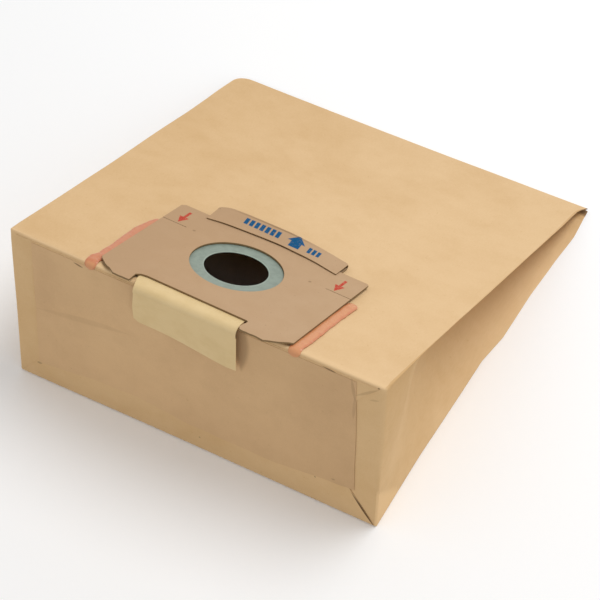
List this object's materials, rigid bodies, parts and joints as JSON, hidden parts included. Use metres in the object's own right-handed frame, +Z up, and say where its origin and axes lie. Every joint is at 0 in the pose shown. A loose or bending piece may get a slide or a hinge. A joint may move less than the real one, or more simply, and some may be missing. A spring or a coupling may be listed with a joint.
{
  "type": "vacuum dust bag",
  "caption": "Gusseted kraft paper dust bag, opened into a wedge, with a board collar, teal rubber seal, cream shutter strip and pull tab.",
  "frame": {"origin": "on the ground, at the middle of the object's box seen from above", "axes": "+X to the right seen from the block bottom, +Y from the block bottom towards the flat glued end, +Z up"},
  "size_m": [0.2379, 0.2579, 0.1201],
  "materials": {
    "kraft_paper": "matte",
    "patch_paper": "matte",
    "cream_paper": "satin",
    "grey_board": "matte",
    "teal_rubber": "satin",
    "hot_glue": "gloss"
  },
  "bodies": {
    "root": {"bag": "kraft_paper", "bottom_patch": "patch_paper", "collar_plate": "grey_board", "seal_ring": "teal_rubber", "closing_strip": "cream_paper", "pull_tab": "grey_board", "glue_strip_left": "hot_glue", "glue_strip_right": "hot_glue"}
  },
  "joints": []
}
